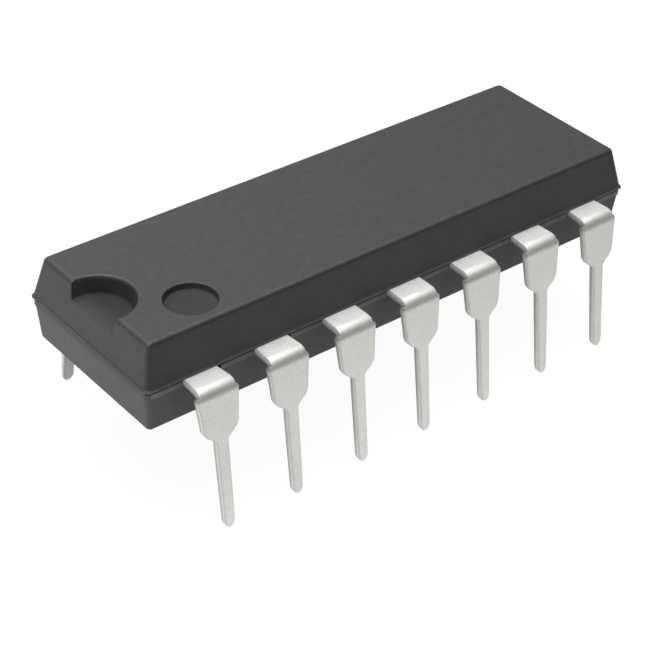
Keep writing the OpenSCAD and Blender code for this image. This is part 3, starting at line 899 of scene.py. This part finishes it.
def grained_material(name, coarse, fine, stretch):
    """A new material, its tree and the outputs of its grain."""
    material, tree = new_material(name)
    group = grain_group(name + "_grain", coarse, fine, stretch)
    return material, tree, add_node(tree, "ShaderNodeGroup", {"node_tree": group}).outputs


def bumped(tree, height, strength):
    """A normal that a height bends."""
    bump = add_node(tree, "ShaderNodeBump", Strength=strength, Distance=BUMP_HEIGHT, Height=height)
    return bump.outputs["Normal"]


def close_material(tree, **inputs):
    """Gives a material its Principled shader and its output."""
    shader = add_node(tree, "ShaderNodeBsdfPrincipled", **inputs)
    add_node(tree, "ShaderNodeOutputMaterial", Surface=shader.outputs[0])


def resin_material(colours):
    """Matt grey-black epoxy: a fine grain over a faint mottle. Painted shade darkens the notch and the
    dimple, which are also more matt, the crease and the long sides. The band is lighter, and the lip's
    rim carries half of that as a painted highlight."""
    # Painted shade in the marks, in the crease and on the long sides; the band is lighter, and its half
    # share on the lip's rim is a painted highlight
    tones = {"recess_shade_and_matt": (0.22, 0.30, 0.36), "band": (3.9, 3.7, 3.4), "crease": (0.15, 0.15, 0.15),
             "long_side": (0.52, 0.52, 0.54)}
    material, tree, grain = grained_material(
        "moulding_resin", coarse=0.25 * MM, fine=0.045 * MM, stretch=0.5)
    tone = toned(tree, colours.resin, grain["Mask"], by=0.25)
    for attribute, factor in tones.items():
        tone = scaled(tree, tone, factor, attribute)
    roughness = mapped(tree, marked(tree, "recess_shade_and_matt"), 0.0, 1.0, low=0.55, high=0.85)
    close_material(tree, Base_Color=tone, Roughness=roughness, Specular_IOR_Level=1.0,
                   Normal=bumped(tree, grain["Height"], strength=0.5))
    return material


def metal_material(name, base, roughness, bump, coarse=0.25 * MM, fine=0.03 * MM, fleck=0.0,
                   metallic=1.0, **levels):
    """A satin metal: roughness that wanders a little, a soft fine bump and faint flecks. Each further
    name is a mesh attribute, with the share of the colour that is left where it is 1; the tin's
    attributes paint shade and a dark reflection."""
    wander = 0.05
    material, tree, grain = grained_material(name, coarse, fine, stretch=1.5)
    tone = toned(tree, base, grain["Fine"], fleck)
    for attribute, level in levels.items():
        tone = scaled(tree, tone, (level, level, level), attribute)
    close_material(tree, Base_Color=tone, Metallic=metallic, Normal=bumped(tree, grain["Height"], bump),
                   Roughness=spread(tree, grain["Mask"], roughness - wander, roughness + wander))
    return material


def glossy_material(name, base, roughness, specular=0.5):
    """A dielectric with a faint grain."""
    material, tree, grain = grained_material(name, coarse=0.2 * MM, fine=0.03 * MM, stretch=1.0)
    close_material(tree, Base_Color=(*base, 1), Roughness=roughness, Specular_IOR_Level=specular,
                   Normal=bumped(tree, grain["Height"], strength=0.15))
    return material


def floor_material(colours, stage):
    """A pale floor that lights the object from below by its plain colour. Seen directly it is near
    white, and in reflections it glows as a painted pool of light with a painted shadow under the
    package."""
    material, tree = new_material("studio_floor")
    path = tree.nodes.new("ShaderNodeLightPath")
    seen = combined(tree, "MAXIMUM", path.outputs["Is Camera Ray"], path.outputs["Is Glossy Ray"])
    seen = combined(tree, "MAXIMUM", seen, path.outputs["Is Transmission Ray"])
    tone = mixed(tree, seen, (*colours.floor, 1), (*[stage.floor_tone] * 3, 1))
    sheet = add_node(tree, "ShaderNodeGroup", {"node_tree": painted_sheet_group(stage)})
    reflected = combined(tree, "MULTIPLY", seen, sheet.outputs["Level"])
    glow = add_node(tree, "ShaderNodeMix", Factor=path.outputs["Is Camera Ray"], A=reflected,
                    B=stage.floor_glow)
    close_material(tree, Base_Color=tone, Roughness=1.0, Specular_IOR_Level=0.0,
                   Emission_Color=(1, 1, 1, 1), Emission_Strength=glow.outputs["Result"])
    return material


def dress(piece, material, slot_name, *nodes):
    """Gives a piece its material and ties it to the frame."""
    piece.data.materials.clear()
    piece.data.materials.append(material)
    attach(piece, "root")
    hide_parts(*nodes)


class PACKAGE_OT_body(bpy.types.Operator):
    """Builds the resin body in place of its solid"""

    bl_idname = "package.body"
    bl_label = "Resin Body"
    bl_options = {"REGISTER", "UNDO"}

    def execute(self, context):
        scene = context.scene
        piece = build_body(scene.package_body, scene.package_leads)
        dress(piece, resin_material(scene.package_colours), "moulding_resin", "moulded_body")
        return {"FINISHED"}


class PACKAGE_OT_leads(bpy.types.Operator):
    """Builds the fourteen formed leads in place of their solids"""

    bl_idname = "package.leads"
    bl_label = "Leads"
    bl_options = {"REGISTER", "UNDO"}

    def execute(self, context):
        scene = context.scene
        body = scene.package_body
        flat_z = BODY_LOW.z + body.lower_height + scene.package_leads.thickness / 2
        # The tin's last three shares are painted shade on the rounded edges, a painted dark reflection
        # just under the bend and painted shade on the inner faces
        tin = metal_material(
            "tin_plating", scene.package_colours.tin, roughness=0.54, bump=0.5, coarse=0.4 * MM,
            fine=0.045 * MM, fleck=0.12, metallic=0.5, coined=0.68, stripe=0.6, inner=0.55)
        middle = (LEADS_PER_ROW + 1) // 2
        for number, name in enumerate(LEAD_NAMES, start=1):
            near = number <= LEADS_PER_ROW
            column = number - middle if near else (3 * LEADS_PER_ROW + 1) // 2 - number
            piece = build_lead("formed_" + name, column, -1 if near else 1, scene.package_leads,
                               BODY_HIGH.y, flat_z)
            dress(piece, tin, "tin_plating", name)
        return {"FINISHED"}


class PACKAGE_OT_inner_parts(bpy.types.Operator):
    """Gives the paddle, adhesive, die and bond wires their finishes"""

    bl_idname = "package.inner_parts"
    bl_label = "Inner Parts"
    bl_options = {"REGISTER", "UNDO"}

    def execute(self, context):
        colours = context.scene.package_colours
        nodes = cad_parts
        missing = {"die_paddle", "die_attach", "silicon_die", *WIRE_NAMES} - set(nodes)
        if missing:
            self.report({"ERROR"}, f"The frame lacks {sorted(missing)}")
            return {"CANCELLED"}
        gold = metal_material("gold_wire", colours.gold, roughness=0.25, bump=0.05)
        finishes = {
            "die_paddle": metal_material("lead_frame_copper", colours.copper, roughness=0.35, bump=0.2),
            "die_attach": glossy_material("die_adhesive", colours.adhesive, roughness=0.55),
            "silicon_die": glossy_material("silicon", colours.silicon, roughness=0.12, specular=0.9),
            **{name: gold for name in WIRE_NAMES}}
        for name, material in finishes.items():
            nodes[name].data.materials.clear()
            nodes[name].data.materials.append(material)
        return {"FINISHED"}


def aim_camera(stage):
    """The camera's place from its angles, with its own turn and pan."""
    azimuth, elevation = stage.azimuth, stage.elevation
    back = np.array([
        np.sin(azimuth) * np.cos(elevation), -np.cos(azimuth) * np.cos(elevation), np.sin(elevation)])
    right = np.cross((0, 0, 1), back)
    right = right / np.linalg.norm(right)
    up = np.cross(back, right)
    c, s = np.cos(stage.roll), np.sin(stage.roll)
    axes = np.array([c * right - s * up, s * right + c * up, back])
    place = axes.T @ (stage.pan_right, stage.pan_up, stage.distance)
    matrix = np.eye(4)
    matrix[:3, :3] = axes.T
    matrix[:3, 3] = place
    return Matrix(matrix.tolist())


def soft_panel(tree, place, direction, inner, outer):
    """A round patch of sky: 1 within the inner angle of a direction, 0 beyond the outer one."""
    towards = compared(tree, "DOT_PRODUCT", place, direction)
    return mapped(tree, towards, np.cos(np.radians(outer)), np.cos(np.radians(inner)), 0.0, 1.0)


def build_world(scene, stage):
    """A sky of soft panels over a dim horizon, and plain white where it is seen directly. The side
    panels stand about 35 degrees above the horizon."""
    world = bpy.data.worlds.new("studio_world")
    scene.world = world
    world.use_nodes = True
    tree = world.node_tree
    out, up = 0.82, 0.57
    panels = (
        ((0, 0, 1), TOP_PANEL, stage.sky_top),
        ((-out, 0, up), SIDE_PANEL, stage.sky_left),
        ((0, out, up), SIDE_PANEL, stage.sky_back),
        ((out, 0, up), SIDE_PANEL, stage.sky_right))
    place = tree.nodes.new("ShaderNodeTexCoord").outputs["Generated"]
    light = stage.sky_low
    for direction, angles, strength in panels:
        panel = soft_panel(tree, place, direction, *angles)
        light = combined(tree, "MULTIPLY_ADD", panel, strength, light)
    path = tree.nodes.new("ShaderNodeLightPath")
    seen = combined(tree, "MAXIMUM", path.outputs["Is Camera Ray"], path.outputs["Is Transmission Ray"])
    shown = add_node(tree, "ShaderNodeMix", Factor=seen, A=light, B=1.0).outputs["Result"]
    background = tree.nodes["Background"]
    background.inputs["Color"].default_value = (1, 1, 1, 1)
    tree.links.new(shown, background.inputs["Strength"])


class PACKAGE_OT_stage(bpy.types.Operator):
    """Builds the floor, the lit sky and the camera"""

    bl_idname = "package.stage"
    bl_label = "Stage"
    bl_options = {"REGISTER", "UNDO"}

    def execute(self, context):
        scene = context.scene
        stage = scene.package_stage
        half = 1.5
        corners = [(-half, -half, 0), (half, -half, 0), (half, half, 0), (-half, half, 0)]
        mesh = bpy.data.meshes.new("studio_floor")
        mesh.from_pydata(corners, [], [(0, 1, 2, 3)])
        floor = bpy.data.objects.new("studio_floor", mesh)
        floor.data.materials.append(floor_material(scene.package_colours, stage))
        scene.collection.objects.link(floor)

        build_world(scene, stage)

        camera = bpy.data.objects.new("camera", bpy.data.cameras.new("camera"))
        camera.data.lens = stage.lens
        camera.data.sensor_width = 36
        camera.data.clip_start = 0.001
        camera.data.clip_end = 20
        camera.matrix_world = aim_camera(stage)
        scene.collection.objects.link(camera)
        scene.camera = camera
        scene.view_settings.view_transform = "Standard"
        return {"FINISHED"}


class PACKAGE_PT_panel(bpy.types.Panel):
    """Lists the steps that dress the package"""

    bl_idname = "PACKAGE_PT_panel"
    bl_label = "Dual In-line Package"
    bl_space_type = "VIEW_3D"
    bl_region_type = "UI"
    bl_category = "Package"

    def draw(self, context):
        for step in STEPS:
            self.layout.operator(step.bl_idname)


STEPS = (PACKAGE_OT_body, PACKAGE_OT_leads, PACKAGE_OT_inner_parts, PACKAGE_OT_stage)
CLASSES = (*GROUPS.values(), *STEPS, PACKAGE_PT_panel)


def register():
    """Adds the classes and the scene's settings."""
    for item in CLASSES:
        bpy.utils.register_class(item)
    for name, group in GROUPS.items():
        setattr(bpy.types.Scene, name, bpy.props.PointerProperty(type=group))


def unregister():
    """Takes them away again."""
    for name in GROUPS:
        delattr(bpy.types.Scene, name)
    for item in reversed(CLASSES):
        bpy.utils.unregister_class(item)


def main():
    """Runs every step."""
    register()
    bpy.ops.package.body()
    bpy.ops.package.leads()
    bpy.ops.package.inner_parts()
    bpy.ops.package.stage()


if __name__ == "__main__":
    main()
